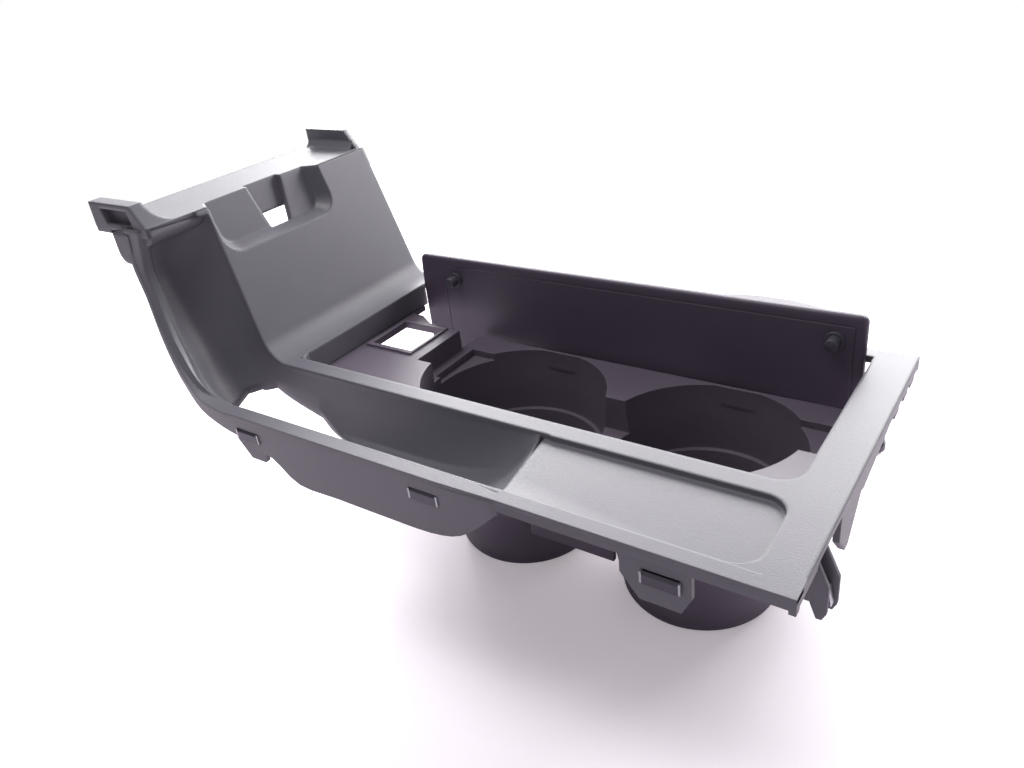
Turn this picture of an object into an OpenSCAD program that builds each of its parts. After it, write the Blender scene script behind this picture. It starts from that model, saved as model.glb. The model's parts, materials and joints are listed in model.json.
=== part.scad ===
// Console panel of a car with a lever channel, two cup wells and a hinged lid.
// The origin is on the floor at the axis of the rear cup. +X runs along the
// console, +Y to the lid side, +Z up. All sizes in millimetres.

/* [Cups] */
// Inside diameter at the mouth of a cup
cup_bore = 78; // [76:0.5:80]
// Distance between the axes of the two cups
cup_pitch = 83.4; // [82.6:0.1:86]
// Wall of the cups
cup_wall = 2.2; // [1.6:0.1:2.6]
// Outside diameter of a cup at its foot
cup_foot_d = 62.6; // [58:0.2:66]
// Height of the ledge ring inside a cup
cup_ring_z = 40.5; // [34:0.5:46]
// Width of the ledge ring
cup_ring_w = 1.8; // [1:0.1:2.4]
// Thickness of the cup floors
cup_floor_t = 2.4; // [1.8:0.1:3.4]
// Radius between the wall and the floor outside
cup_foot_r = 4.5; // [3:0.5:6]

/* [Panel] */
// Thickness of the panel plate
plate_t = 2.5; // [2:0.1:3]
// Height of the panel face above the floor
deck_z = 90.5; // [88:0.5:94]
// Near outer edge of the panel, from the cup axes
deck_near = 87.3; // [85:0.1:90]
// Far outer edge of the panel, from the cup axes
deck_far = 51.9; // [51.5:0.1:54]
// Width of the strip outside the lever channel
near_strip = 5; // [4.4:0.1:6]
// Width of the strip between the channel and the opening
rim_strip = 7.5; // [6.5:0.1:9]
// Width of the strip behind the lid
far_strip = 6.4; // [5.6:0.1:6.4]
// Width of the strip in front of the opening
end_strip = 14.4; // [13:0.1:17]
// Rear end of the opening, from the rear cup axis
open_rear = 81.7; // [81:0.1:84]
// Length of the opening
open_len = 213.4; // [212.8:0.1:216]
// Depth of the edge wall below the face
lip_h = 4.2; // [3.6:0.1:5]
// Thickness of the skirts
skirt_t = 2; // [1.6:0.1:2.4]

/* [Riser] */
// Height of the ledge above the panel face
riser_h = 64.5; // [60:0.5:68]
// Lean of the riser from upright
riser_lean = 20; // [17:0.5:23]
// Radius at the foot of the riser
foot_r = 13; // [10:0.5:16]
// Depth of the ledge on top of the riser
ledge_w = 37; // [32:0.5:42]
// Height of the horns above the ledge
horn_h = 8.5; // [6:0.5:11]
// Width of the latch recess
recess_w = 64; // [56:1:70]
// Depth of the latch recess
recess_d = 6.5; // [5:0.5:8]
// Height of the latch recess
recess_h = 21; // [17:0.5:25]
// Width of the latch hole
latch_w = 19; // [16:0.5:21]
// Height of the latch hole
latch_h = 17.5; // [14:0.5:18]

/* [Channel] */
// Depth of the lever channel below the face
well_d = 22; // [18:0.5:23]
// Depth of the channel at the riser
riser_well = 8; // [6:0.5:10]
// Depth of the coin tray
tray_d = 2; // [1.5:0.1:2.4]
// Length of the coin tray
tray_len = 85; // [78:1:90]
// Corner radius of the coin tray
tray_r = 8; // [5:0.5:12]
// Width of the mounting tongues
tongue_w = 22; // [18:0.5:24]
// Drop of the mounting tongues below the face
tongue_h = 19; // [17:0.5:22]

/* [Insert] */
// Depth of the upper deck of the insert below the face
insert_drop = 10.9; // [10:0.1:12]
// Step from the upper deck down to the shelf
shelf_step = 9.8; // [8.5:0.1:10.5]
// Thickness of the insert plates
insert_t = 2.4; // [2:0.1:2.8]
// Depth of the handle notches below the shelf
notch_d = 3.3; // [2.5:0.1:4]
// Reach of the insert under the edge of the opening
insert_lap = 2.6; // [2.2:0.1:2.8]
// Side of the cable hole
cable_w = 23.5; // [20:0.5:24]
// Height of the lip round the cable hole
cable_lip = 0.9; // [0.5:0.1:1.5]
// Diameter of the insert screws
screw_d = 3; // [2.5:0.1:3.5]

/* [Lid] */
// Thickness of the lid
lid_t = 2.8; // [2.6:0.1:3.4]
// Width of the lid from the free edge to the hinge side
lid_w = 82.1; // [81:0.1:82.6]
// Gap between the lid and each end of the opening
lid_gap = 1.9; // [1.2:0.1:2.4]
// Gap between the lid and the near edge of the opening
lid_front_gap = 1.2; // [0.8:0.1:1.6]
// Gap between the open lid and the far strip
lid_rest_gap = 0.1; // [0.05:0.05:0.3]
// Corner radius at the free edge
lid_r = 3; // [2:0.5:5]
// Thickness of the lid liner
liner_t = 1.3; // [1:0.1:1.5]
// Distance of the liner from the free edge
liner_inset = 4.5; // [3.5:0.1:6]
// Diameter of the rubber bumpers
bumper_d = 7; // [5:0.5:9]
// Length of the finger pull
pull_len = 55; // [44:1:62]
// How far the finger pull stands out
pull_h = 7; // [4:0.5:8]

/* [Hinge] */
// Diameter of the hinge pins
pin_d = 4; // [3:0.2:4.6]
// Radial clearance of the hinge pins
pin_gap = 0.05; // [0.03:0.01:0.08]
// Thickness of the lid arms
arm_t = 3; // [2.4:0.1:3.4]
// Width of the lid arms
arm_w = 8; // [6.5:0.5:8.5]
// Thickness of the pivot ears
ear_t = 2.2; // [1.8:0.1:2.4]
// Running gap between an arm and its ears
ear_gap = 0.8; // [0.5:0.1:1]

/* [Hidden] */

eps = 0.02;
fine = 72;
// seating gap between pieces that are pushed together
seat = 0.1;

// panel edges
px0 = -open_rear;
px1 = px0 + open_len;
px2 = px1 + end_strip;
py0 = -deck_near;
py1 = py0 + near_strip;
oy1 = deck_far - far_strip;
lid_y1 = oy1 - lid_rest_gap;
lid_y0 = lid_y1 - lid_t;
top_z = deck_z + riser_h;
under_z = deck_z - plate_t;

// lid pivot: the inner face of the lid is as far from it open as closed
swing_r = 34.4;
piv_y = lid_y1 - swing_r;
piv_z = deck_z - swing_r;
lid_z1 = deck_z + 16.5;
lid_z0 = lid_z1 - lid_w;
oy0 = piv_y - (lid_z1 - piv_z) - lid_front_gap;
rim_y = oy0 - rim_strip;
lid_x0 = px0 + lid_gap - 0.4;
lid_x1 = px1 - lid_gap - 0.65;
face_r = swing_r - lid_t;
swing_gap = 0.3;

// insert levels
up_z = deck_z - insert_drop;
shelf_z = up_z - shelf_step;
notch_z = shelf_z - notch_d;
step_x = -46.3;
step_y = -7;
shelf_y = piv_y + sqrt(pow(face_r - swing_gap, 2) - pow(shelf_z - piv_z, 2));
ins_x0 = px0 - insert_lap;
ins_x1 = px1 + insert_lap;
ins_y0 = oy0 - insert_lap;
bore_r = cup_bore / 2;
ring_r = bore_r - 2.6;
// the far side of each bore is flat near the shelf, so the lid can pass
flat_y = shelf_y - 1.3;

// riser profile: distance s along the face from the foot
arc_len = foot_r * (90 - riser_lean) * PI / 180;
foot_z = deck_z + foot_r;
tan_x = px0 - foot_r * cos(riser_lean);
tan_z = foot_z - foot_r * sin(riser_lean);
slope_len = (top_z - tan_z) / cos(riser_lean);
// point on the riser profile, sunk by d behind the face
function riser_pt(s, d) =
    s <= 0 ? [px0 - s, deck_z - d]
    : s < arc_len ? let(a = 270 - s / arc_len * (90 - riser_lean))
        [px0 + (foot_r + d) * cos(a), foot_z + (foot_r + d) * sin(a)]
    : let(k = s - arc_len)
        [tan_x - k * sin(riser_lean) - d * cos(riser_lean),
         tan_z + k * cos(riser_lean) - d * sin(riser_lean)];
riser_len = arc_len + slope_len;
// the channel edge of the riser leans in above this height
crease_z = deck_z + 9.5;
crease_a = 5.3;
function crease_y(z) = rim_y + max(0, z - crease_z) * tan(crease_a);

// smooth curve through the rows of a table
function row(p, i) = p[max(0, min(len(p) - 1, i))];
function curve(p, s) =
    let(i = min(floor(s), len(p) - 2), t = s - i,
        a = row(p, i - 1), b = row(p, i), c = row(p, i + 1), d = row(p, i + 2))
    0.5 * (2 * b + (c - a) * t + (2 * a - 5 * b + 4 * c - d) * t * t
           + (3 * b - a - 3 * c + d) * t * t * t);
function unit(v) = v / norm(v);

// stations of the channel from the ledge to the tray:
// riser distance, inner edge, outer edge, depth, drop of the outer skirt
e1 = py1;
e0 = py0;
dz = deck_z;
tray_x = px2 - 13 - tray_len;
stations = [
    [riser_len - 1, [-119, 13.5, 63.5], [-129.5, 15.5, 64], [-1, 0], [-1.4, 0]],
    [66, [-121.5, 13.5, 55], [-129.5, 15.5, 56], [-4, 0], [-1.4, 0]],
    [55, [-122.5, 13, 46], [-128, 14.5, 46.5], [-riser_well * 0.8, 0], [-1.4, 0]],
    [44, [-118, 11, 36.5], [-122, 12.3, 36], [-riser_well * 0.9, -1], [-1.4, -0.5]],
    [32, [-110, 7, 24.5], [-113.5, 8, 24], [-riser_well, -2], [-1.4, -0.6]],
    [22, [-101.5, 4, 14.5], [-105, 4.5, 13.8], [-riser_well, -4], [-1.4, -1]],
    [13, [-94, 1.5, 7.5], [-97, 2, 7], [-riser_well, -8], [-1.4, -2]],
    [5, [-87.5, 0.4, 2.6], [-89.5, 0.5, 2.4], [-7, -13], [-1, -4.5]],
    [-3, [-79, 0, 0], [-79, 0, 0], [-4, -17], [0, -6.5]],
    [-14, [-68, 0, 0], [-68, 0, 0], [-1, -20], [0, -9]],
    [-29, [-53, 0, 0], [-53, 0, 0], [0, -well_d], [0, -14]],
    [-41, [-41, 0, 0], [-41, 0, 0], [0, -well_d], [0, -22.5]],
    [-62, [-20, 0, 0], [-20, 0, 0], [0, -well_d], [0, -22.5]],
    [-86, [4, 0, 0], [4, 0, 0], [0, -well_d + 0.5], [0, -22.5]],
    [-106, [24, 0, 0], [24, 0, 0], [0, -well_d + 4], [0, -22]],
    [-118, [37, 0, 0], [37, 0, 0], [0, -12], [0, -18.5]],
    [-tray_x + px0 + 6, [tray_x + 0.5, 0, 0], [tray_x + 0.5, 0, 0], [0, -6], [0, -9]],
    [-tray_x + px0 + 2, [tray_x + 4.5, 0, 0], [tray_x + 4.5, 0, 0], [0, -tray_d], [0, -4]]
];
// channel section from the riser edge (w = 1) to the inner edge (w = -1)
ws = [1, 0.97, 0.91, 0.8, 0.6, 0.25, -0.15, -0.5, -0.75, -0.9, -0.97, -1];
steps = 3;
last = (len(stations) - 1) * steps;
st_s = [for (k = [0:last]) curve([for (r = stations) r[0]], k / steps)];
st_b = [for (k = [0:last]) curve([for (r = stations) r[1]], k / steps)];
st_c = [for (k = [0:last]) curve([for (r = stations) r[2]], k / steps)];
st_d = [for (k = [0:last]) curve([for (r = stations) r[3]], k / steps)];
st_k = [for (k = [0:last]) curve([for (r = stations) r[4]], k / steps)];
// the near side of the channel is gentle on the riser and steep in the well
function near_power(k) = 2 + 3 * max(0, min(1, (k - 15) / 12));
// each row is the hidden side of the sheet: its edges lie one wall behind the face
function chan_row(k) =
    let(q = riser_pt(st_s[k], plate_t / 2),
        dip = k == last ? 0.4 : 0,
        e = unit([st_d[k][0], 0, st_d[k][1]]),
        c7 = skirt_t * 0.7,
        a = [q[0], crease_y(q[1]) + 0.3 + skirt_t, q[1]],
        b = [st_b[k][0], e1 + st_b[k][1] - c7, dz - eps + st_b[k][2] - dip] + c7 * e,
        c = [st_c[k][0], e0 + eps + st_c[k][1] + c7 + dip,
             dz - eps + st_c[k][2] - dip] + c7 * e,
        d = [st_d[k][0], 0, st_d[k][1] - dip] + skirt_t * e,
        m = (a + b) / 2, h = (a - b) / 2)
    concat([for (w = ws) m + w * h + d * (1 - pow(abs(w), w > 0 ? 5 : near_power(k)))],
           [c, c + [st_k[k][0], skirt_t * 0.3, st_k[k][1]]]);
chan = [for (k = [0:last]) chan_row(k)];
nc = len(chan[0]);
function chan_n(k, j) =
    let(u = chan[min(last, k + 1)][j] - chan[max(0, k - 1)][j],
        v = chan[k][min(nc - 1, j + 1)] - chan[k][max(0, j - 1)])
    unit(cross(v, u));
chan_out = [for (k = [0:last]) [for (j = [0:nc - 1])
    chan[k][j] + skirt_t * chan_n(k, j)]];

// closed sheet between the face grid and the back grid
module sheet(f, g) {
    r = len(f);
    c = len(f[0]);
    n = r * c;
    pts = concat([for (a = f) for (p = a) p], [for (a = g) for (p = a) p]);
    quads = concat(
        [for (i = [0:r - 2]) for (j = [0:c - 2])
            [i * c + j, i * c + j + 1, (i + 1) * c + j + 1, (i + 1) * c + j]],
        [for (i = [0:r - 2]) for (j = [0:c - 2])
            [n + (i + 1) * c + j, n + (i + 1) * c + j + 1, n + i * c + j + 1, n + i * c + j]],
        [for (i = [0:r - 2]) [(i + 1) * c, n + (i + 1) * c, n + i * c, i * c]],
        [for (i = [0:r - 2]) [i * c + c - 1, n + i * c + c - 1,
            n + (i + 1) * c + c - 1, (i + 1) * c + c - 1]],
        [for (j = [0:c - 2]) [j, n + j, n + j + 1, j + 1]],
        [for (j = [0:c - 2]) [(r - 1) * c + j + 1, n + (r - 1) * c + j + 1,
            n + (r - 1) * c + j, (r - 1) * c + j]]);
    tris = [for (q = quads) for (t = [[q[0], q[1], q[2]], [q[0], q[2], q[3]]]) t];
    polyhedron(pts, tris, convexity = 10);
}

// box between two corners
module box(a, b) {
    translate(a)
        cube(b - a);
}

// rectangle with its corners rounded by circles
module round_rect(a, b, r) {
    translate([a[0] + r, a[1]])
        square([b[0] - a[0] - 2 * r, b[1] - a[1]]);
    translate([a[0], a[1] + r])
        square([b[0] - a[0], b[1] - a[1] - 2 * r]);
    for (x = [a[0] + r, b[0] - r])
        for (y = [a[1] + r, b[1] - r])
            translate([x, y])
                circle(r, $fn = 32);
}

// drawing in the XZ plane pushed from y0 to y1
module along_y(y0, y1) {
    translate([0, y1, 0])
        rotate([90, 0, 0])
            linear_extrude(y1 - y0)
                children();
}

// drawing in the YZ plane pushed from x0 to x1
module along_x(x0, x1) {
    translate([x0, 0, 0])
        rotate([90, 0, 90])
            linear_extrude(x1 - x0)
                children();
}

// face and lean of the riser, with local X out of the face and Z up the slope
module on_slope() {
    translate([tan_x, 0, tan_z])
        rotate([0, -riser_lean, 0])
            children();
}

// section of the riser with its foot
module riser_section() {
    ss = concat([for (i = [0:12]) arc_len * i / 12], [riser_len]);
    polygon(concat([for (s = ss) riser_pt(s, 0)],
                   [for (i = [13:-1:0]) riser_pt(ss[i], plate_t)]));
}

rec_y0 = -43;
rec_y1 = rec_y0 + recess_w;
rec_z = slope_len - recess_h;

// latch recess, widening toward the face
module latch_recess() {
    hull() {
        along_x(0.5, 0.6)
            round_rect([rec_y0, rec_z - 1], [rec_y1, slope_len + 20], 9);
        along_x(-recess_d, -recess_d + 0.1)
            round_rect([rec_y0 + 4, rec_z + 4], [rec_y1 - 4, slope_len + 16], 6);
    }
}

hole_y0 = -15.7;
hole_y1 = hole_y0 + latch_w;
keeper = riser_pt(riser_len - latch_h * 0.6, recess_d + 2.9);

module riser() {
    difference() {
        union() {
            along_y(rim_y, deck_far)
                riser_section();
            on_slope()
                box([-recess_d - plate_t, rec_y0 + 1, rec_z - 1.5],
                    [-0.6, rec_y1 - 1, slope_len + 2]);
            box([riser_pt(riser_len, 0)[0] - ledge_w, -71, top_z - plate_t],
                [riser_pt(riser_len, 0)[0] - 0.9, deck_far, top_z]);
            // latch keeper behind the hole
            along_y(hole_y0 - plate_t, hole_y1 + plate_t)
                polygon([keeper, riser_pt(riser_len + 2.6, recess_d + 2.9),
                         [keeper[0] - 9, top_z - 0.7], [keeper[0] - 7, keeper[1]]]);
        }
        on_slope()
            latch_recess();
        box([-180, -80, top_z], [px0, deck_far + 1, top_z + 9]);
        on_slope()
            along_x(-recess_d - 3, 1)
                polygon([[hole_y0 + 2.5, slope_len - latch_h], [hole_y1 - 4.8, slope_len - latch_h],
                         [hole_y1, slope_len + 1], [hole_y1, slope_len + 8],
                         [hole_y0, slope_len + 8], [hole_y0, slope_len + 1]]);
        // channel side cut of the riser
        translate([0, rim_y, crease_z])
            rotate([-crease_a, 0, 0])
                box([-riser_h * 2, -60, 0], [px0, 0, riser_h - 12]);
    }
}

horn_x = riser_pt(riser_len, 0)[0];

horn_w = 6;
horn_y = -71;

// end piece of the ledge, seen from the side, from its rear end x0
module horn_outline(x0, low) {
    polygon([[x0, top_z - low], [x0, top_z + horn_h], [horn_x - 9, top_z + horn_h],
             [horn_x - 4.5, top_z + 2.5], [horn_x - 1.5, top_z - 0.6],
             [horn_x - 1.5, top_z - low]]);
}

// horn with a fillet down to the ledge
module near_horn() {
    difference() {
        intersection() {
            along_y(horn_y, horn_y + horn_w + horn_h)
                horn_outline(horn_x - ledge_w, 4);
            along_x(horn_x - ledge_w - 1, horn_x)
                polygon(concat([[horn_y, top_z - 5], [horn_y, top_z + horn_h]],
                    [for (a = [0:15:90]) [horn_y + horn_w + horn_h * (1 - cos(a)),
                        top_z + horn_h * (1 - sin(a))]],
                    [[horn_y + horn_w + horn_h, top_z - 5]]));
        }
        along_y(horn_y - 1, horn_y + 3.4)
            polygon([[horn_x - ledge_w + 7, top_z + horn_h - 2.2],
                     [horn_x - 11.5, top_z + horn_h - 2.2],
                     [horn_x - 9, top_z - 6], [horn_x - ledge_w + 11, top_z - 6]]);
    }
    // tab under the horn
    along_y(horn_y + 1.5, horn_y + 1.5 + plate_t)
        polygon([[horn_x - 26.5, top_z - 1], [horn_x - 23.5, top_z - 13],
                 [horn_x - 21.5, top_z - 16], [horn_x - 18.5, top_z - 17.5],
                 [horn_x - 10, top_z - 17.5], [horn_x - 8, top_z - 1]]);
}

module horns() {
    near_horn();
    along_y(deck_far - plate_t, deck_far)
        horn_outline(horn_x - ledge_w + 2, 3.4);
}

tray_x1 = tray_x + tray_len;
tray_y0 = py1 + 0.8;
tray_y1 = rim_y - 0.4;

module deck_outline() {
    difference() {
        union() {
            translate([px0, rim_y])
                square([px2 - px0, deck_far - rim_y]);
            translate([tray_x + 2, py0])
                square([px2 - tray_x - 2, rim_y - py0 + 1]);
        }
        opening();
        difference() {
            round_rect([tray_x - 20, tray_y0], [tray_x1, tray_y1], tray_r);
            translate([tray_x - 30, py0])
                square([32, 60]);
        }
    }
}

module opening() {
    difference() {
        translate([px0, oy0])
            square([px1 - px0, oy1 - oy0]);
        // large corner at the near front end
        translate([px1 - 8.5, oy0])
            difference() {
                translate([0, -1])
                    square([9.5, 9.5]);
                translate([0, 8.5])
                    circle(8.5, $fn = 48);
            }
    }
}

// wall under the edge of the opening, on three sides
module opening_wall() {
    difference() {
        translate([px0 - plate_t, oy0 - plate_t])
            square([px1 - px0 + 2 * plate_t, oy1 - oy0 + plate_t - 1.5]);
        translate([0, 0.01])
            opening();
        translate([px0, oy1 - 3])
            square([px1 - px0, 10]);
    }
}

boss_x0 = px0 - 7.6;
boss_x1 = px1 + end_strip / 2 + 0.2;
boss_y = 30;
screw_ps = [[boss_x0, -boss_y, up_z], [boss_x0, boss_y, up_z],
            [boss_x1, -boss_y, up_z], [boss_x1, boss_y - 8, shelf_z]];
boss_d = screw_d + 4.4;

// window centres of the tongues along the edge
tongue_xs = [-64, 24, 109];
// how far each tongue reaches to either side of its window
tongue_ws = [[8.5, 8.5], [11, 11], [tongue_w / 2 + 2, tongue_w / 2 - 2]];
// how far each window lies below the usual height
tongue_dz = [0, 0, 1.6];

module tongue(i) {
    x0 = tongue_xs[i] - tongue_ws[i][0];
    x1 = tongue_xs[i] + tongue_ws[i][1];
    along_y(py0 + 0.3, py0 + skirt_t + 0.3)
        polygon([[x0, deck_z - 1], [x1, deck_z - 1], [x1, deck_z - tongue_h + 6],
                 [x1 - 3, deck_z - tongue_h], [x0 + 6, deck_z - tongue_h],
                 [x0, deck_z - tongue_h + 8]]);
}

module tongue_window(i) {
    translate([tongue_xs[i], py0, deck_z - tongue_dz[i]])
        box([-6, -1, -10.5], [6, 4, -5.5]);
}

end_y0 = -66;
end_y1 = -59;
end_rib = 1.6;

module end_tongue() {
    difference() {
        along_x(px2 - 4.6, px2 - 2.2)
            polygon([[end_y0, under_z + 1], [end_y1, under_z + 1], [end_y1, deck_z - 19.5],
                     [end_y0, deck_z - 19.5]]);
        box([px2 - 8, end_y0 + end_rib, deck_z - 17.5], [px2, end_y1 - end_rib, deck_z - 12]);
    }
    for (i = [0, 1])
        translate([i * 1.4, i == 0 ? end_y0 : end_y1 - end_rib, 0])
            along_y(0, end_rib)
                polygon([[px2 - 4.2, under_z + 1], [px2 - 1.8, under_z - 1],
                         [px2 + 2.4, deck_z - 13], [px2 + 2.4, deck_z - 22.5],
                         [px2 + 1.2, deck_z - 25], [px2 - 0.4, deck_z - 25],
                         [px2 - 4, deck_z - 15.5], [px2 - 4.2, under_z + 1]]);
}

module console_panel() {
    color("dimgray")
        difference() {
            union() {
                translate([0, 0, under_z])
                    linear_extrude(plate_t)
                        deck_outline();
                // tray floor
                translate([0, 0, deck_z - tray_d - plate_t + 0.2])
                    linear_extrude(plate_t - 0.2)
                        polygon([[tray_x - 1, tray_y1 + 3], [tray_x1 + 3, tray_y1 + 3],
                                 [tray_x1 + 3, tray_y0 - 3], [tray_x + 4, tray_y0 - 3],
                                 [tray_x + 2, -70]]);
                // edge walls
                box([tray_x + 2, py0, deck_z - lip_h], [px2, py0 + skirt_t, under_z + 1]);
                box([px0 - 8, deck_far - skirt_t, deck_z - lip_h - 0.8],
                    [px2, deck_far, under_z + 1]);
                along_x(px2 - skirt_t, px2)
                    polygon([[py0, under_z + 1], [py0, deck_z - 5.5],
                             [py0 + 2.5, deck_z - 5.5], [py0 + 3, deck_z - lip_h],
                             [-70, deck_z - lip_h], [-69, under_z], [-43, under_z],
                             [-22, deck_z - 9.4], [9, deck_z - lip_h],
                             [deck_far, deck_z - lip_h],
                             [deck_far, under_z + 1]]);
                // plate and hooks at the front end
                along_x(px2 - 2.6, px2 - 0.6)
                    polygon([[-45, under_z + 1], [-45, deck_z - 14], [-37, deck_z - 22.8],
                             [-33.2, deck_z - 22.8], [-20, deck_z - 9],
                             [-20, under_z + 1]]);
                for (y = [17, 30, 40])
                    box([px2 - 3.2, y, deck_z - 7], [px2 - 0.2, y + 6, under_z + 1]);
                translate([0, 0, up_z + seat / 2])
                    linear_extrude(under_z + 1 - up_z)
                        opening_wall();
                riser();
                horns();
                sheet(chan, chan_out);
                for (i = [0:2])
                    tongue(i);
                end_tongue();
                for (p = screw_ps)
                    translate([p[0], p[1], p[2] + seat / 2])
                        cylinder(h = deck_z - 0.6 - p[2], d = boss_d, $fn = 32);
                for (y = [-boss_y, boss_y])
                    box([boss_x0 - 3.5, y - 1, up_z + 3], [px0 - 1, y + 1, deck_z - 0.6]);
            }
            // lever slot through the channel floor
            translate([0, 0, deck_z - well_d - 10])
                linear_extrude(well_d + 7)
                    polygon([[-92.5, e1 + 1.6], [-95.5, -70], [-98, -60], [-96, -54],
                             [-90, -50.5], [-63, -52], [-42, -58], [-33, -66],
                             [-25, -76], [-22, e1 + 1.6]]);
            for (p = screw_ps)
                translate([p[0], p[1], p[2] - 1])
                    cylinder(h = 9, d = screw_d + 0.06, $fn = 24);
            for (i = [0:2])
                tongue_window(i);
        }
}

// outer shape of a cup up to height z1
module cup_outer(z1) {
    r0 = cup_foot_d / 2;
    rotate_extrude($fn = fine)
        union() {
            polygon([[0, 0], [r0 - cup_foot_r, 0], [r0, cup_foot_r],
                     [ring_r - cup_ring_w + cup_wall, cup_ring_z - 3],
                     [ring_r + cup_wall, cup_ring_z + 2],
                     [bore_r + cup_wall, shelf_z - 4],
                     [bore_r + cup_wall, z1], [0, z1]]);
            translate([r0 - cup_foot_r, cup_foot_r])
                circle(cup_foot_r, $fn = 48);
        }
}

module cup_inner(z1) {
    r0 = cup_foot_d / 2 - cup_wall;
    rotate_extrude($fn = fine)
        polygon([[0, cup_floor_t], [r0 - 3, cup_floor_t], [r0 - 0.8, cup_floor_t + 1],
                 [r0, cup_floor_t + 3],
                 [ring_r - cup_ring_w, cup_ring_z], [ring_r, cup_ring_z],
                 [bore_r, shelf_z - 4], [bore_r, z1], [0, z1]]);
}

module upper_zone() {
    difference() {
        union() {
            translate([ins_x0, ins_y0])
                square([ins_x1 - ins_x0, step_y - ins_y0]);
            translate([ins_x0, ins_y0])
                square([step_x - ins_x0, 24 - ins_y0]);
            polygon([[ins_x0, 20], [ins_x0, 41], [lid_x0 - 0.6, 41],
                     [lid_x0 - 0.6, 31.4], [px0 + 7, 31.4],
                     [px0 + 16.7, 25.5], [step_x, 24], [step_x, 20]]);
        }
        translate([cable_x0, cable_y0])
            square(cable_w);
    }
}

cable_x0 = px0 + 4.7;
cable_y0 = -2.5;
neck_x = cup_pitch / 2;
neck_y0 = -28;
arm_x0 = step_x - 4.1;
arm_x1 = px1 - 5.9;
arm_xs = [arm_x0, arm_x1];
clear_y = piv_y + 17;

module shelf_zone() {
    difference() {
        translate([step_x - 1, step_y - 1])
            square([ins_x1 - step_x + 1, shelf_y - step_y + 1]);
        translate([arm_x1 - 0.8, clear_y])
            square([40, 40]);
    }
}

// recesses in the shelf beside the cups
module notches() {
    translate([step_x + 4.8, -2.4])
        square([30, 28.4]);
    translate([cup_pitch + 20, step_y - 0.8])
        square([px1 - cup_pitch - 20, 26 - step_y + 0.8]);
}

module pivot_ear(x, z1) {
    along_x(x, x + ear_t)
        union() {
            translate([piv_y - 6, piv_z])
                square([12, z1 - piv_z]);
            translate([piv_y, piv_z])
                circle(6, $fn = 48);
        }
}

module cup_insert() {
    color([0.16, 0.15, 0.17])
        difference() {
            union() {
                translate([0, 0, up_z - insert_t])
                    linear_extrude(insert_t)
                        upper_zone();
                translate([0, 0, shelf_z - insert_t])
                    linear_extrude(insert_t)
                        shelf_zone();
                translate([0, 0, notch_z - insert_t])
                    linear_extrude(insert_t + 0.5)
                        intersection() {
                            offset_notches();
                            shelf_zone();
                        }
                // step walls
                box([step_x - cup_wall, step_y - cup_wall, shelf_z - insert_t],
                    [step_x, 24, up_z]);
                box([step_x - 0.5, step_y - cup_wall, shelf_z - insert_t],
                    [ins_x1, step_y, up_z - 0.5]);
                // walls round the notches
                notch_walls();
                for (x = [0, cup_pitch])
                    translate([x, 0, 0])
                        cup_outer(up_z);
                // neck floor and web between the cups
                box([neck_x - 6, -14, piv_z - 4], [neck_x + 6, 14, shelf_z - 1]);
                box([neck_x - 13, neck_y0 - cup_wall, piv_z - 4], [neck_x + 13, -13, piv_z - 1.5]);
                box([neck_x - 19, neck_y0 - cup_wall, 24], [neck_x + 19, neck_y0, up_z - 1]);
                box([neck_x - 10, -1.2, 12], [neck_x + 10, 1.2, shelf_z - 1]);
                // lip round the cable hole
                box([cable_x0 - 2.2, cable_y0 - 2.2, up_z - 0.5],
                    [cable_x0 + cable_w + 1.2, cable_y0 + cable_w + 2.2, up_z + cable_lip]);
                // screw ears
                for (p = screw_ps)
                    screw_ear(p);
                for (x = arm_xs) {
                    pivot_ear(x - ear_gap - ear_t, x == arm_x0 ? up_z - 1 : notch_z - 1);
                    pivot_ear(x + arm_t + ear_gap, notch_z - 1);
                }
                box([step_x + 0.1, piv_y - 6, notch_z - 2],
                    [arm_x0 + arm_t + ear_gap + ear_t, piv_y + 6, shelf_z - 1]);
            }
            for (x = [0, cup_pitch])
                translate([x, 0, 0])
                    difference() {
                        cup_inner(up_z + 1);
                        along_x(-20, 20)
                            polygon([[flat_y, up_z + 2], [flat_y, shelf_z - 8],
                                     [bore_r + 1, shelf_z - 14], [bore_r + 1, up_z + 2]]);
                    }
            swing_cut();
            // far half of the cups stops at the shelf
            box([step_x, step_y, shelf_z], [ins_x1 + 1, shelf_y + 1, up_z + 5]);
            translate([0, 0, notch_z])
                linear_extrude(20)
                    notches();
            box([neck_x - 9, neck_y0, piv_z - 1.5], [neck_x + 9, 12, up_z + 1]);
            box([cable_x0, cable_y0, up_z - 9], [cable_x0 + cable_w, cable_y0 + cable_w, up_z + 9]);
            translate([arm_x0 - 12, piv_y, piv_z])
                rotate([0, 90, 0])
                    cylinder(h = 24, r = pin_d / 2 + pin_gap, $fn = 32);
            translate([arm_x1 - 4.5, piv_y, piv_z])
                rotate([0, 90, 0])
                    cylinder(h = 20, r = pin_d / 2 + pin_gap, $fn = 32);
            for (p = screw_ps)
                translate([p[0], p[1], p[2] - 8])
                    cylinder(h = 12, d = screw_d + 0.5, $fn = 24);
        }
}

// room for the lid between open and closed
module swing_cut() {
    r = face_r - swing_gap;
    along_x(lid_x0 - 1, lid_x1 + 1)
        polygon(concat([for (i = [0:18]) [piv_y + r * cos(3.5 * i), piv_z + r * sin(3.5 * i)]],
                       [[piv_y + 60, piv_z + 56], [piv_y + 60, piv_z]]));
}

module offset_notches() {
    translate([step_x, -2.4 - cup_wall])
        square([34, 28.4 + 2 * cup_wall]);
    translate([cup_pitch + 20, step_y - 0.8])
        square([ins_x1 - cup_pitch - 20, 26 - step_y + 0.8 + cup_wall]);
}

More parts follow.
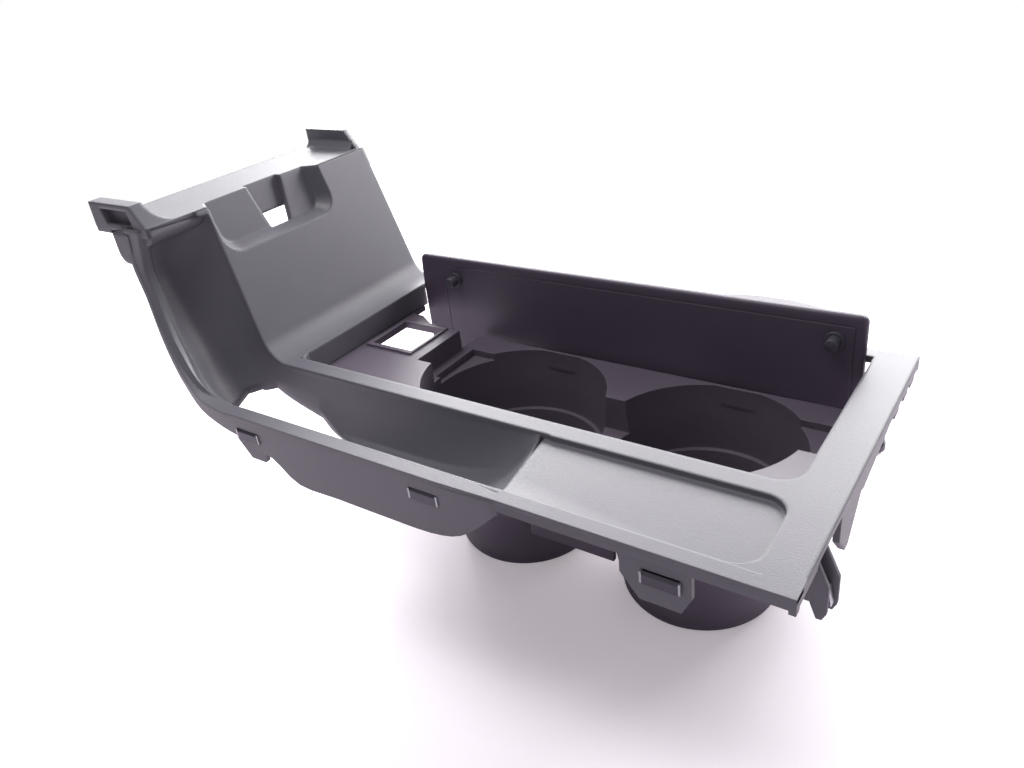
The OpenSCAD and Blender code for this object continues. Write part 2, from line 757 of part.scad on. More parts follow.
module notch_walls() {
    for (y = [-2.4 - cup_wall, 26])
        box([step_x, y, notch_z - 1], [step_x + 12, y + cup_wall, shelf_z]);
    box([cup_pitch + 34, 26, notch_z - 1], [arm_x1 + 2, 26 + cup_wall, shelf_z]);
}

module screw_ear(p) {
    translate([p[0], p[1], p[2] - insert_t])
        cylinder(h = insert_t, d = boss_d + 1, $fn = 32);
    x0 = p[0] < 0 ? p[0] : ins_x1 - 1;
    x1 = p[0] < 0 ? ins_x0 + 1 : p[0];
    box([x0, p[1] - boss_d / 2 - 0.5, p[2] - insert_t], [x1, p[1] + boss_d / 2 + 0.5, p[2]]);
}

lx0 = lid_x0 + 14;
lx1 = arm_x1 - 0.6;
lz0 = lid_z0 + 2.5;
arm_foot_z = lid_z0 + 4.2;
lz1 = lid_z1 - liner_inset;
pull_r = (pull_len * pull_len / 4 + pull_h * pull_h) / (2 * pull_h);
pull_x = 92;

module lid_cover() {
    color([0.2, 0.19, 0.21])
        difference() {
            union() {
                along_y(lid_y0, lid_y1)
                    union() {
                        round_rect([lid_x0, lid_z1 - 20], [lid_x1, lid_z1], lid_r);
                        translate([lid_x0, lid_z0])
                            square([lid_x1 - lid_x0, lid_w - 10]);
                    }
                // finger pull on the outer face
                intersection() {
                    translate([pull_x, lid_y1 + pull_h - pull_r, lid_z1 - 11.5])
                        cylinder(h = 10, r = pull_r, $fn = 180);
                    box([pull_x - pull_len, lid_y1 - 0.8, lid_z1 - 20],
                        [pull_x + pull_len, lid_y1 + pull_h + 5, lid_z1]);
                }
            }
            along_y(lid_y0 - 1, lid_y0 + liner_t)
                liner_outline(0);
        }
}

module liner_outline(g) {
    translate([lx0 + g, lz0 + g])
        square([lx1 - lx0 - 2 * g, lz1 - lz0 - 2 * g]);
    translate([lx1 - 10, lz0 + g])
        square([arm_x1 + arm_t + 0.8 - g - lx1 + 10, 16 - 2 * g]);
}

// lid arm: drops from the pivot and turns out to the liner
module arm(x) {
    difference() {
        along_x(x, x + arm_t)
            union() {
                translate([piv_y, piv_z])
                    circle(arm_w / 2 + 1, $fn = 48);
                translate([piv_y - arm_w / 2, arm_foot_z])
                    square([arm_w, piv_z - arm_foot_z]);
                translate([piv_y - arm_w / 2, arm_foot_z])
                    square([lid_y0 + 0.2 - piv_y + arm_w / 2, arm_w - 1]);
                translate([lid_y0 - 5, arm_foot_z])
                    square([5.2, 12]);
            }
        translate([x - 1, piv_y, piv_z])
            rotate([0, 90, 0])
                cylinder(h = arm_t + 2, r = pin_d / 2 + pin_gap, $fn = 32);
    }
}

bump_z = lid_z1 - 10.8;
bump_xs = [lid_x0 + 20.6, lid_x1 - 11];
bump_l = lid_y0 - (piv_y + up_z - piv_z) - seat / 2;
stem_d = bumper_d - 3;

module lid_liner() {
    color([0.19, 0.17, 0.2])
        difference() {
            union() {
                along_y(lid_y0, lid_y0 + liner_t - seat / 2)
                    liner_outline(seat);
                for (x = arm_xs)
                    arm(x);
            }
            for (x = bump_xs)
                translate([x, lid_y0 + 3, bump_z])
                    rotate([90, 0, 0])
                        cylinder(h = 6, d = stem_d + 2 * pin_gap, $fn = 32);
        }
}

module bumper(x) {
    color([0.12, 0.12, 0.13])
        translate([x, lid_y0, bump_z])
            rotate([90, 0, 0])
                union() {
                    cylinder(h = bump_l - 1, d = bumper_d, $fn = 48);
                    translate([0, 0, bump_l - 1 - eps])
                        cylinder(h = 1 + eps, d1 = bumper_d, d2 = bumper_d - 2, $fn = 48);
                    translate([0, 0, -liner_t + 0.2])
                        cylinder(h = liner_t, d = stem_d, $fn = 48);
                }
}

module lid_bumper_rear() {
    bumper(bump_xs[0]);
}

module lid_bumper_front() {
    bumper(bump_xs[1]);
}

// headed pin through two ears and an arm
module pin(x) {
    color("silver")
        translate([x - ear_gap - ear_t, piv_y, piv_z])
            rotate([0, 90, 0])
                union() {
                    cylinder(h = arm_t + 2 * (ear_gap + ear_t), d = pin_d, $fn = 48);
                    translate([0, 0, arm_t + 2 * (ear_gap + ear_t)])
                        cylinder(h = 1.2, d = pin_d + 2.4, $fn = 48);
                }
}

module hinge_pin_rear() {
    pin(arm_x0);
}

module hinge_pin_front() {
    pin(arm_x1);
}

module insert_screws() {
    color("gray")
        for (p = screw_ps)
            translate([p[0], p[1], p[2] - insert_t])
                union() {
                    translate([0, 0, -2])
                        cylinder(h = 2, d = screw_d + 3.4, $fn = 32);
                    translate([0, 0, -eps])
                        cylinder(h = insert_t + 6.6, d = screw_d, $fn = 32);
                }
}

// bent strip in the window of a tongue, pushed along the window
module clip_section() {
    polygon([[-0.9, 0], [-0.9, 3.4], [-0.1, 4.2], [3.6, 4.2], [3.6, -6.6], [2.7, -6.6],
             [2.7, 3.3], [0.3, 3.3], [0, 3], [0, 0]]);
}

module near_clips() {
    color([0.25, 0.25, 0.27])
        for (i = [0:2])
            translate([tongue_xs[i], py0, deck_z - 10.1 - tongue_dz[i]])
                along_x(-5.5, 5.5)
                    clip_section();
}

module end_clip() {
    color([0.45, 0.45, 0.47])
        translate([px2, 0, deck_z - 23])
            along_y(end_y0 + end_rib + 0.4, end_y1 - end_rib - 0.4)
                polygon([[-5.3, 15], [-4.7, 15], [-4.7, 8.4], [1.8, 8.4], [3, 2],
                         [2.2, 2], [1.3, 7.6], [-5.3, 7.6]]);
}

console_panel();
cup_insert();
lid_cover();
lid_liner();
lid_bumper_rear();
lid_bumper_front();
hinge_pin_rear();
hinge_pin_front();
insert_screws();
near_clips();
end_clip();
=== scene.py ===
# %% [markdown]
# # A console panel with two cup wells and a hinged lid
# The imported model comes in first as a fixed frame. Every large piece is a smooth copy of its
# solid, laid in the same place, so nothing has to be fitted later.

# %% Load the frame
import bpy
import bmesh
import json
import math
from mathutils import Matrix, Vector


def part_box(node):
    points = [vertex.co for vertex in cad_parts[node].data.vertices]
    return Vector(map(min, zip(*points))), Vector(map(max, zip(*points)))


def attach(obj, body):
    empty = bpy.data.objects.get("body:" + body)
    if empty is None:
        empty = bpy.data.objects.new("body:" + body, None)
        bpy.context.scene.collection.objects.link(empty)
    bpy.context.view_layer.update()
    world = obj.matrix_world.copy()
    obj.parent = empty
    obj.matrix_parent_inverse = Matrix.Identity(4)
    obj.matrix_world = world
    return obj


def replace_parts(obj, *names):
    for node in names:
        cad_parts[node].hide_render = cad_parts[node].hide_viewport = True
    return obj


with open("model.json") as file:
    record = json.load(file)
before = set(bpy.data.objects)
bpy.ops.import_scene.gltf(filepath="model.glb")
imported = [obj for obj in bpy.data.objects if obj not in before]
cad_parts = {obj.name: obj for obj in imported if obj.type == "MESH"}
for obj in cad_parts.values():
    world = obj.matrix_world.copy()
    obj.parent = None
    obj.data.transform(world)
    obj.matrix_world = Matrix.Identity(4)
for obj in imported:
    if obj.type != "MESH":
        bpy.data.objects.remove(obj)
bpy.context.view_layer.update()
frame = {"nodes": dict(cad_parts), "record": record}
print("nodes", sorted(frame["nodes"]))

# %% [markdown]
# Colours are written as sRGB hex values, as a paint program shows them, and one function turns them
# to the linear values that the shaders expect. A second function adds a shader node with its
# settings and links, and a third opens an empty material.

# %% Colour and node helpers
def colour(code):
    parts = [int(code[i:i + 2], 16) / 255 for i in (1, 3, 5)]
    line = [p / 12.92 if p <= 0.04045 else ((p + 0.055) / 1.055) ** 2.4 for p in parts]
    return (*line, 1.0)


def add_node(tree, kind, settings=None, **links):
    """A link is named for its input, with _ for a space, or with i and the input's number."""
    node = tree.nodes.new(kind)
    for name, value in (settings or {}).items():
        if hasattr(node, name):
            setattr(node, name, value)
        else:
            node.inputs[name].default_value = value
    for name, source in links.items():
        slot = int(name[1:]) if name[0] == "i" and name[1:].isdigit() else name.replace("_", " ")
        tree.links.new(source, node.inputs[slot])
    return node


def empty_nodes(owner):
    owner.use_nodes = True
    owner.node_tree.nodes.clear()
    return owner.node_tree


print("mid grey", [round(v, 3) for v in colour("#808080")])

# %% [markdown]
# The camera stands where the photograph was taken from: in front of the lid, above the deck, a
# little to the right, with a short lens held slightly askew. It could be aimed by eye, but a fit of
# the panel's straight edges and cup circles gave these numbers, so each edge falls where it should.

# %% Camera
cam_pos = Vector((0.18823, -0.24543, 0.24513))
cam_az, cam_el, cam_roll = (math.radians(v) for v in (37.623, 28.964, -7.284))
lens_mm, sensor_mm = 29.419, 36
back = Vector((math.sin(cam_az) * math.cos(cam_el), -math.cos(cam_az) * math.cos(cam_el),
               math.sin(cam_el)))
right = Vector((math.cos(cam_az), math.sin(cam_az), 0))
up = back.cross(right)
rolled_right = right * math.cos(cam_roll) + up * math.sin(cam_roll)
rolled_up = up * math.cos(cam_roll) - right * math.sin(cam_roll)
cam_data = bpy.data.cameras.new("photo_view")
cam_data.lens = lens_mm
cam_data.sensor_width = sensor_mm
cam_data.clip_start = 0.01
camera = bpy.data.objects.new("photo_view", cam_data)
turn = Matrix((rolled_right, rolled_up, back)).transposed().to_4x4()
camera.matrix_world = Matrix.Translation(cam_pos) @ turn
bpy.context.scene.collection.objects.link(camera)
bpy.context.scene.camera = camera
print("camera at", tuple(round(v, 3) for v in cam_pos))

# %% [markdown]
# The floor is a large pale disc that keeps the soft shadow of the part. More light would turn it
# white, but would bleach the dark plastic too. So only the rays that come straight from the camera
# see it brighter, and the part is lit by its plain pale paint.

# %% Floor
floor_radius, floor_sides = 0.75, 96
floor_mesh = bpy.data.meshes.new("studio_floor")
b = bmesh.new()
bmesh.ops.create_circle(b, cap_ends=True, segments=floor_sides, radius=floor_radius)
b.to_mesh(floor_mesh)
b.free()
studio_floor = bpy.data.objects.new("studio_floor", floor_mesh)
bpy.context.scene.collection.objects.link(studio_floor)
floor_mat = bpy.data.materials.new("painted pale floor")
t = empty_nodes(floor_mat)
path = add_node(t, "ShaderNodeLightPath")
paint = add_node(t, "ShaderNodeBsdfDiffuse", {"Color": colour("#e9e0ea")})
bright = add_node(t, "ShaderNodeBsdfDiffuse", {"Color": colour("#fff8fe")})
glow = add_node(t, "ShaderNodeEmission", {"Color": colour("#fff6fc"), "Strength": 0.3})
both = add_node(t, "ShaderNodeAddShader", i0=bright.outputs[0], i1=glow.outputs[0])
pick = add_node(t, "ShaderNodeMixShader", i0=path.outputs["Is Camera Ray"],
                i1=paint.outputs[0], i2=both.outputs[0])
add_node(t, "ShaderNodeOutputMaterial", Surface=pick.outputs[0])
floor_mesh.materials.append(floor_mat)
print("floor", tuple(studio_floor.dimensions))

# %% [markdown]
# The world around the part is a plain soft light, as in a room with pale walls. The camera sees it
# as white, so that the floor's edge melts into it. The Standard view shows colours as written.

# %% World
room_light = 0.32
world = bpy.data.worlds.new("soft room")
bpy.context.scene.world = world
t = empty_nodes(world)
path = add_node(t, "ShaderNodeLightPath")
soft = add_node(t, "ShaderNodeBackground", {"Color": colour("#f6f4fb"), "Strength": room_light})
white = add_node(t, "ShaderNodeBackground", {"Color": colour("#ffffff"), "Strength": 1.0})
pick = add_node(t, "ShaderNodeMixShader", i0=path.outputs["Is Camera Ray"],
                i1=soft.outputs[0], i2=white.outputs[0])
add_node(t, "ShaderNodeOutputWorld", Surface=pick.outputs[0])
bpy.context.scene.view_settings.view_transform = "Standard"
print("room light", room_light)

# %% [markdown]
# A wide soft lamp stands behind the lid, like a window across the table. It glances off every face
# that lies flat, which is why the deck looks far lighter than the upright walls of the same plastic.
# A weaker one lights the riser from the left, a small one reaches across the lid, and a dim one
# hangs overhead.

# %% Lamps
def softbox(name, place, aim, wide, high, watts):
    lamp = bpy.data.lights.new(name, "AREA")
    lamp.shape = "RECTANGLE"
    lamp.size, lamp.size_y, lamp.energy = wide, high, watts
    holder = bpy.data.objects.new(name, lamp)
    holder.matrix_world = Matrix.Translation(place) @ (
        (Vector(aim) - Vector(place)).to_track_quat("-Z", "Y").to_matrix().to_4x4())
    bpy.context.scene.collection.objects.link(holder)


softbox("window behind", (-0.2, 1.15, 0.6), (0, 0, 0.08), 2.2, 0.8, 50)
softbox("window at the left", (-1.0, 0.75, 0.85), (0, 0, 0.08), 0.9, 0.7, 8)
softbox("lamp across the lid", (0.12, 0.55, 0.42), (-0.08, 0, 0.12), 0.3, 0.3, 1.5)
softbox("ceiling", (-0.25, -0.15, 1.3), (-0.05, 0, 0.08), 0.6, 0.6, 8)

# %% [markdown]
# The panel is polypropylene moulded against a spark-eroded tool: a fine leather-like grain that
# scatters the light, so the surface looks satin and slightly dusty. The grain is about 0.4 mm
# across, drawn a little coarser here so that it shows, and a cloud of about 30 mm lets the dust
# come and go. The Bevel node rounds the shading of each corner, which costs no faces. Past
# soft_from along Y, its radius changes to soft_mm, for the channel's broad bends.

# %% Moulded plastic
clouds_per_m, grain_height = 35.0, 0.0002


def moulded_plastic(name, tone, dust, rough, grain_mm, depth, edge_mm, soft_mm=0, soft_from=None):
    mat = bpy.data.materials.new(name)
    t = empty_nodes(mat)
    place = add_node(t, "ShaderNodeTexCoord").outputs["Object"]
    grain = add_node(t, "ShaderNodeTexNoise", {"Scale": 1000 / grain_mm, "Detail": 3.0,
                     "Roughness": 0.6}, Vector=place)
    cloud = add_node(t, "ShaderNodeTexNoise", {"Scale": clouds_per_m, "Detail": 4.0}, Vector=place)
    fleck = add_node(t, "ShaderNodeMix", {"data_type": "RGBA"}, Factor=cloud.outputs["Fac"])
    fleck.inputs[6].default_value = colour(tone)
    fleck.inputs[7].default_value = colour(dust)
    wear = add_node(t, "ShaderNodeMapRange", {"From Min": 0.3, "From Max": 0.7,
                    "To Min": rough - 0.05, "To Max": rough + 0.06}, Value=grain.outputs["Fac"])
    edge = add_node(t, "ShaderNodeBevel", {"samples": 6, "Radius": edge_mm / 1000})
    if soft_from:
        axes = add_node(t, "ShaderNodeSeparateXYZ", Vector=place)
        across = add_node(t, "ShaderNodeMapRange", {"From Min": soft_from, "From Max": soft_from + 0.001,
                          "To Min": edge_mm / 1000, "To Max": soft_mm / 1000}, Value=axes.outputs["Y"])
        t.links.new(across.outputs[0], edge.inputs["Radius"])
    bump = add_node(t, "ShaderNodeBump", {"Strength": depth, "Distance": grain_height},
                    Height=grain.outputs["Fac"], Normal=edge.outputs[0])
    body = add_node(t, "ShaderNodeBsdfPrincipled", {"IOR": 1.5}, Base_Color=fleck.outputs[2],
                    Roughness=wear.outputs[0], Normal=bump.outputs[0])
    add_node(t, "ShaderNodeOutputMaterial", Surface=body.outputs[0])
    return mat


print("dust clouds about", round(1000 / clouds_per_m), "mm across")

# %% [markdown]
# The wells are the same plastic from a slightly smoother tool, in a darker grey. The lid is darker still,
# with a shallower grain, so that it keeps a faint satin sheen. The purple cast in all three tones and
# their dust colours is painted shade: it copies the hue that the shaded walls, wells and lid take on. One
# function makes all three, because only tone, grain and polish differ.

# %% Three plastics
# The slight purple in each tone and dust colour is painted shade, the hue of the shaded plastic.
panel_pp = moulded_plastic("grained polypropylene panel", "#5d5b63", "#67656c", 0.44, 0.6, 0.32, 0.5,
                           soft_mm=1.8, soft_from=-0.079)
insert_pp = moulded_plastic("grained polypropylene insert", "#5b525f", "#635b68", 0.4, 0.5, 0.3, 0.6)
lid_pp = moulded_plastic("satin polypropylene lid", "#4b4152", "#524858", 0.46, 0.45, 0.25, 1.0)
print("plastics", [m.name for m in (panel_pp, insert_pp, lid_pp)])

# %% [markdown]
# The bumpers are moulded rubber, dull and soft-looking. Pins, screws and the end clip are steel with
# a bright zinc plating, and the near clips are spring steel with a dark phosphate coat, which shines
# less. A fine grain in roughness and bump is all that shows on such small parts. The real one is
# under a tenth of a millimetre, and is drawn at about half a millimetre, or it would not show.

# %% Rubber and steel
def small_part_finish(name, tone, rough, metal, grain_mm):
    mat = bpy.data.materials.new(name)
    t = empty_nodes(mat)
    place = add_node(t, "ShaderNodeTexCoord").outputs["Object"]
    grain = add_node(t, "ShaderNodeTexNoise", {"Scale": 1000 / grain_mm}, Vector=place)
    wear = add_node(t, "ShaderNodeMapRange", {"To Min": rough - 0.08, "To Max": rough + 0.08},
                    Value=grain.outputs["Fac"])
    bump = add_node(t, "ShaderNodeBump", {"Strength": 0.15, "Distance": 0.0001},
                    Height=grain.outputs["Fac"])
    body = add_node(t, "ShaderNodeBsdfPrincipled", {"Base Color": colour(tone), "Metallic": metal},
                    Roughness=wear.outputs[0], Normal=bump.outputs[0])
    add_node(t, "ShaderNodeOutputMaterial", Surface=body.outputs[0])
    return mat


rubber = small_part_finish("moulded rubber", "#45424b", 0.5, 0.0, 0.6)
# The same bright steel also serves as a painted glint on the legs of the near clips.
steel = small_part_finish("zinc plated steel", "#b4b4b8", 0.35, 1.0, 0.4)
spring_steel = small_part_finish("phosphated spring steel", "#5a585f", 0.4, 1.0, 0.5)
print("finishes", rubber.name, steel.name, spring_steel.name)

# %% [markdown]
# A moulded part has no knife edges, yet its flat walls stay flat. Each solid comes in as loose
# triangles. They could be shaded flat, but the round wells would then show facets. So a copy is
# merged, edges that turn sharply are kept crisp, and the curved walls shade smoothly.

# %% Smooth copies of the solids
crisp_turn = math.radians(32)
merge_reach = 2e-6


def soften(b):
    for e in b.edges:
        e.smooth = len(e.link_faces) == 2 and e.calc_face_angle(0) < crisp_turn
    for f in b.faces:
        f.smooth = True


def show(name, mesh, mat, body):
    mesh.materials.clear()
    mesh.materials.append(mat)
    piece = bpy.data.objects.new(name, mesh)
    bpy.context.scene.collection.objects.link(piece)
    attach(piece, body)
    return piece


def finished_copy(node, name, mat):
    mesh = frame["nodes"][node].data.copy()
    b = bmesh.new()
    b.from_mesh(mesh)
    bmesh.ops.remove_doubles(b, verts=b.verts, dist=merge_reach)
    soften(b)
    for f in b.faces:
        f.material_index = 0
    b.to_mesh(mesh)
    b.free()
    body = next(k for k, v in frame["record"]["behaviour"]["bodies"].items() if node in v)
    piece = show(name, mesh, mat, body)
    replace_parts(piece, node)
    return piece


finished_copy("console_panel", "panel_moulding", panel_pp)
wells = finished_copy("cup_insert", "cup_wells", insert_pp)
lid_skin = finished_copy("lid_cover", "lid_skin", lid_pp)
finished_copy("lid_liner", "lid_back", lid_pp)
for node, mat in {"hinge_pin_rear": steel, "hinge_pin_front": steel, "insert_screws": steel,
                  "near_clips": spring_steel, "end_clip": steel}.items():
    finished_copy(node, node + "_finished", mat)

# %% [markdown]
# The rest of the moulding's look is in its trim and soft corners. Most of these are prisms: one
# outline, in millimetres, becomes a face, and an extrusion pushes it through a given width. The
# result is a closed piece that rides with its body.

# %% Helpers for added forms
def add_piece(name, b, mat, body):
    bmesh.ops.recalc_face_normals(b, faces=b.faces)
    soften(b)
    mesh = bpy.data.meshes.new(name)
    b.to_mesh(mesh)
    b.free()
    return show(name, mesh, mat, body)


def ring_of(b, points):
    return [b.verts.new([v / 1000 for v in p]) for p in points]


def prism(name, outline, push, mat, body):
    b = bmesh.new()
    start = b.faces.new(ring_of(b, outline))
    pushed = bmesh.ops.extrude_face_region(b, geom=[start], use_keep_orig=True)
    moved = [g for g in pushed["geom"] if isinstance(g, bmesh.types.BMVert)]
    bmesh.ops.translate(b, verts=moved, vec=[v / 1000 for v in push])
    return add_piece(name, b, mat, body)


def arc(cx, cz, r, a0, a1, n=10):
    turns = [math.radians(a0 + (a1 - a0) * i / n) for i in range(n + 1)]
    return [(cx + r * math.cos(a), cz + r * math.sin(a)) for a in turns]


print("corner arc points", len(arc(0, 0, 4, 0, 90)))

# %% [markdown]
# The near edge of the panel is one flat band, about 6 mm wide, from the ledge down the riser and on
# beside the tray. It turns as it goes down, so a single extrusion can't follow it. Instead it has
# stations along the channel, each with the band's inner edge, its outer edge and the way down.

# %% Stations of the near band
deck_top, near_edge, band_in = 90.5, -87.3, -82.0
band_stations = [
    ((-119, 13.5, 63.5), (-129.5, 15.5, 64), (-1, 0)),
    ((-121.5, 13.5, 55), (-129.5, 15.5, 56), (-4, 0)),
    ((-122.5, 13, 46), (-128, 14.5, 46.5), (-6.4, 0)),
    ((-118, 11, 36.5), (-122, 12.3, 36), (-7.2, -1)),
    ((-110, 7, 24.5), (-113.5, 8, 24), (-8, -2)),
    ((-101.5, 4, 14.5), (-105, 4.5, 13.8), (-8, -4)),
    ((-94, 1.5, 7.5), (-97, 2, 7), (-8, -8)),
    ((-87.5, 0.4, 2.6), (-89.5, 0.5, 2.4), (-7, -13)),
    ((-79, 0, 0), (-79, 0, 0), (-4, -17)),
    ((-68, 0, 0), (-68, 0, 0), (-1, -20)),
    ((-53, 0, 0), (-53, 0, 0), (0, -20)),
    ((30, 0, 0), (30, 0, 0), (0, -20)),
    ((52, 0, 0), (52, 0.55, 0), (0, -20)),
    ((118, 0, -0.18), (118, 0.55, -0.18), (0, -20)),
    ((132, 0, -0.29), (132, 0.55, -0.29), (0, -20)),
    ((146.1, 0, -0.33), (146.1, 0.62, -0.33), (0, -20)),
]
straight_from = 9
print("stations", len(band_stations))

# %% [markdown]
# A smooth curve runs through the stations and gives two more sections between each pair where the
# band bends. Each section is a small ring of four corners, and neighbouring rings are bridged. The
# band stands 0.3 mm proud of the sheet below, which keeps its outer corner crisp.

# %% Near band
proud, band_thick, lip, sections_a_step = 0.3, 1.6, 0.6, 3


def curve_at(values, s):
    """A Catmull-Rom curve through the values, at step s."""
    i = min(int(s), len(values) - 2)
    u = s - i
    a, b, c, d = (values[max(0, min(len(values) - 1, i + k))] for k in (-1, 0, 1, 2))
    return 0.5 * (2 * b + (c - a) * u + (2 * a - 5 * b + 4 * c - d) * u * u
                  + (3 * b - a - 3 * c + d) * u ** 3)


def band_section(s):
    inner, outer, dip = (
        [curve_at([row[part][i] for row in band_stations], s) for i in range(len(band_stations[0][part]))]
        for part in range(3))
    down = Vector((dip[0], 0, dip[1])).normalized()
    top_in = Vector((inner[0], band_in + inner[1], deck_top + inner[2])) - proud * down
    top_out = Vector((outer[0], near_edge - lip + outer[1], deck_top + outer[2])) - proud * down
    return [top_in, top_out, top_out + band_thick * down, top_in + band_thick * down]


def loft(name, sections, mat, body):
    b = bmesh.new()
    loops = []
    for section in sections:
        ring = ring_of(b, section)
        loops.append([b.edges.new((ring[k - 1], ring[k])) for k in range(len(ring))])
    for low, high in zip(loops, loops[1:]):
        bmesh.ops.bridge_loops(b, edges=low + high)
    bmesh.ops.holes_fill(b, edges=loops[0] + loops[-1])
    return add_piece(name, b, mat, body)


last_step = len(band_stations) - 1
steps = [k / sections_a_step for k in range(sections_a_step * last_step + 1)]
band = [band_section(s) for s in steps if s <= straight_from or s == int(s)]
loft("near_band", band, panel_pp, "panel")
print("near band sections", len(band))

# %% [markdown]
# Between the ledge and the channel the plastic rolls over a soft nose instead of a cut edge. A bevel
# on the solid's own edge would run into the lofted sheet, so the nose is a prism with a rounded
# outline, tucked under the ledge.

# %% Ledge nose
ledge_top, ledge_end, nose_r, nose_root = 154.85, -114.9, 3.4, -121
nose_near, nose_far = -70.4, -44
nose = [(nose_root, ledge_top - 3)] + arc(ledge_end - nose_r, ledge_top - nose_r, nose_r, 90, 0) + [
    (-115.3, 150), (-116.4, 148.6), (-118.5, 147.6), (nose_root, 147.6)]
prism("ledge_nose", [(x, nose_near, z) for x, z in nose], (0, nose_far - nose_near, 0), panel_pp, "panel")
print("nose outline points", len(nose))

# %% [markdown]
# The far horn rises from the ledge in a fillet, as every rib of a moulding does, because a sharp
# inner corner would crack. The near horn carries a small rounded tab on its underside. Both are
# prisms too: the fillet is pushed across the ledge, and the tab along it.

# %% Horn fillet and tab
fillet_y, horn_face, fillet_r, buried, above_ledge = 45.4, 49.6, 4, 0.5, 0.05
fillet_from, fillet_to = -149, -118.5
fillet = [(horn_face, ledge_top - buried), (horn_face, ledge_top + fillet_r)] + arc(
    fillet_y, ledge_top + fillet_r + above_ledge, fillet_r, 0, -90) + [(fillet_y, ledge_top - buried)]
prism("far_horn_fillet", [(fillet_from, y, z) for y, z in fillet], (fillet_to - fillet_from, 0, 0),
      panel_pp, "panel")
tab_near, tab_thick, tab_r, tab_top = -72.6, 1.8, 5, 152
tab = [(-138.2, tab_top)] + arc(-133, 144.2, tab_r, 180, 320) + [(-127.4, tab_top)]
prism("horn_tab", [(x, tab_near, z) for x, z in tab], (0, tab_thick, 0), panel_pp, "panel")

# %% [markdown]
# The opening of the lid has round corners, because moulded plastic flows badly into sharp ones.
# A hollow quarter round fills the corner beside the riser. Its straight sides overlap the panel a
# little, so no gap shows, and its top is a hair above the deck, so the two faces don't flicker.

# %% Corner of the opening
open_x, open_y, corner_r, corner_deep, overlap, above_deck = -81.7, -41.1, 5, 12, 0.4, 0.03
corner = [(open_x - overlap, open_y - overlap), (open_x + corner_r, open_y - overlap)] + arc(
    open_x + corner_r, open_y + corner_r, corner_r, 270, 180) + [(open_x - overlap, open_y + corner_r)]
prism("opening_corner", [(x, y, deck_top - corner_deep) for x, y in corner],
      (0, 0, corner_deep + above_deck), panel_pp, "panel")
print("corner points", len(corner))

# %% [markdown]
# Each bumper is a rubber button pushed through the liner: a thin flange, then a narrower rounded
# head. It could be two stacked cylinders, but then the rim would be sharp. So half of its outline is
# spun once round the pushing direction, as on a lathe, and its two flat ends are then filled.

# %% Rubber bumpers
button = [(2, -0.9), (3.7, -0.1), (3.7, 1.0), (3.5, 1.2), (2.5, 1.3), (2.5, 4.8), (2.2, 5.3), (1.4, 5.6)]
bumper_sides = 32
inner_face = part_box("lid_cover")[0].y * 1000


def middle(node):
    low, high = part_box(node)
    return (low + high) * 500


def turned(name, at, outline, mat, body):
    b = bmesh.new()
    line = ring_of(b, [(at.x + r, inner_face - out, at.z) for r, out in outline])
    spun = line + [b.edges.new(pair) for pair in zip(line, line[1:])]
    bmesh.ops.spin(b, geom=spun, cent=at / 1000, axis=(0, 1, 0), angle=2 * math.pi,
                   steps=bumper_sides, use_merge=True)
    bmesh.ops.holes_fill(b, edges=b.edges)
    return add_piece(name, b, mat, body)


for node in ("lid_bumper_rear", "lid_bumper_front"):
    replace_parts(turned(node + "_finished", middle(node), button, rubber, "lid"), node)
print("inner face of the lid at", round(inner_face, 2))

# %% [markdown]
# A folded spring clip sits in the window of each near tongue. Its two side legs catch the light as thin
# upright lines. Each leg is a thin prism of its own in the bright zinc-plated steel. That is a painted
# highlight: the light finish stands in for the glint on the dark clip's edges, and the lamps add a real
# sheen to the metal on top.

# %% Legs of the near clips
clip_xs, clip_zs, leg_t, leg_half = (-64, 24, 109), (80.4, 80.4, 78.8), 0.7, 5.9
leg_low, leg_high, leg_near, leg_far = 0.2, 4.2, -88.15, -86.6
for i, (cx, cz) in enumerate(zip(clip_xs, clip_zs)):
    for end, side in (("near", -1), ("far", 1)):
        x = cx + side * leg_half
        leg = [(x + s * leg_t / 2, leg_near, cz + h)
               for s, h in ((-1, leg_low), (1, leg_low), (1, leg_high), (-1, leg_high))]
        # Each leg takes the bright steel as a painted highlight along the dark clip's edges.
        prism(f"clip_leg_{i}_{end}", leg, (0, leg_far - leg_near, 0), steel, "panel")
print("clip legs", 2 * len(clip_xs))

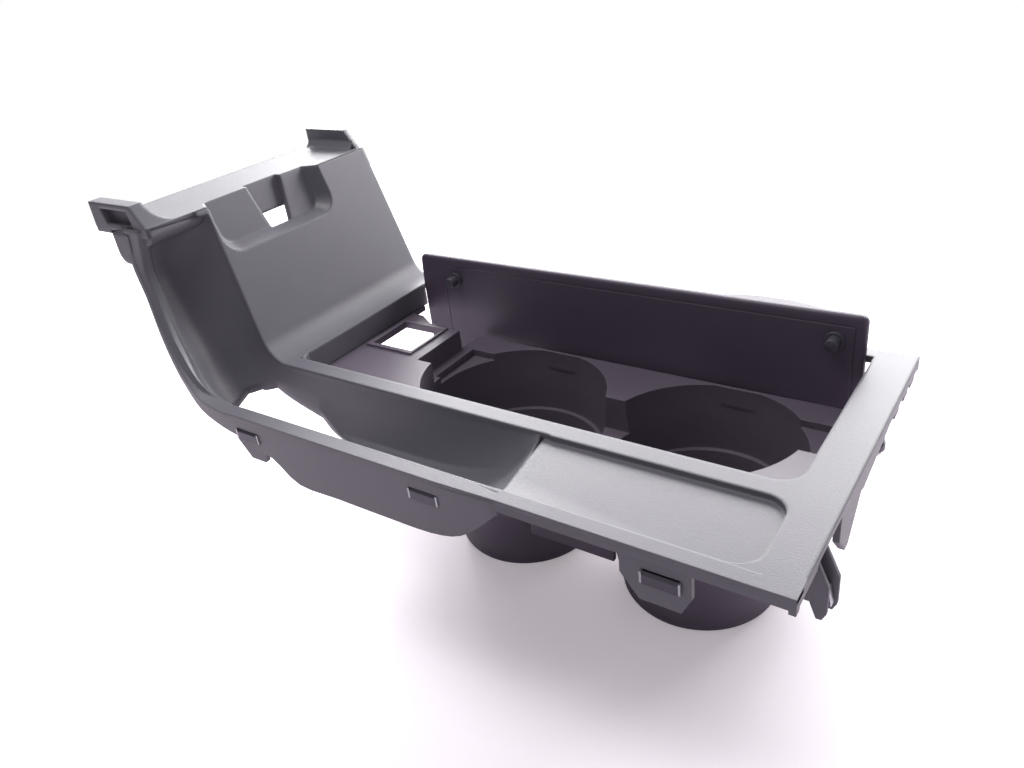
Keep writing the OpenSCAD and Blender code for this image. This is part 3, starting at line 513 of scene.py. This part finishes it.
# %% [markdown]
# The lid's inner rim is rounded over, and the window behind it draws a soft bright line along that
# curve. The flat faces are joined again first, so that a bevel finds one clean row of edges. The
# lid's lower edge stays square, because it lies below the deck.

# %% Rounded rim of the lid
rim_reach, rim_r, rim_steps, rim_deep = 0.0032, 0.0013, 4, 0.07
flat_turn, square_turn, on_face = math.radians(0.5), 1, 1e-5


def round_rim(piece):
    b = bmesh.new()
    b.from_mesh(piece.data)
    bmesh.ops.dissolve_limit(b, angle_limit=flat_turn, verts=b.verts, edges=b.edges)
    left = min(v.co.x for v in b.verts)
    right_end = max(v.co.x for v in b.verts)
    top = max(v.co.z for v in b.verts)
    face_y = min(v.co.y for v in b.verts)

    def on_rim(v):
        inset = min(v.co.x - left, right_end - v.co.x, top - v.co.z)
        return v.co.y < face_y + on_face and inset < rim_reach and v.co.z > top - rim_deep

    rim = [e for e in b.edges if all(on_rim(v) for v in e.verts) and e.calc_face_angle(0) > square_turn]
    bmesh.ops.bevel(b, geom=rim, offset=rim_r, segments=rim_steps, affect="EDGES", profile=0.5,
                    clamp_overlap=True, material=-1)
    soften(b)
    b.to_mesh(piece.data)
    b.free()
    return len(rim)


print("rim edges rounded", round_rim(lid_skin))

# %% [markdown]
# The wells open into each other over a low saddle, and the bores leave thin cusps beside it. They
# could be flattened point by point, but one cut with a closed block is simpler: a boolean takes away
# what stands in it, and the two mouths run together in one soft waist.

# %% Waist between the wells
waist_x, waist_low, waist_high = 41.7, 66, 81
waist_near, waist_far, half_near, half_far = -28, -19.5, 16, 8
waist = [(waist_x - half_far, waist_far), (waist_x - half_near, waist_near),
         (waist_x + half_near, waist_near), (waist_x + half_far, waist_far)]
block = prism("cutter", [(x, y, waist_low) for x, y in waist], (0, 0, waist_high - waist_low),
              insert_pp, "panel")
cut = wells.modifiers.new("trim", "BOOLEAN")
cut.operation, cut.solver, cut.object = "DIFFERENCE", "EXACT", block
view = bpy.context.evaluated_depsgraph_get()
trimmed = bpy.data.meshes.new_from_object(wells.evaluated_get(view))
wells.modifiers.clear()
wells.data = trimmed
bpy.data.objects.remove(block)
print("wells faces", len(wells.data.polygons))
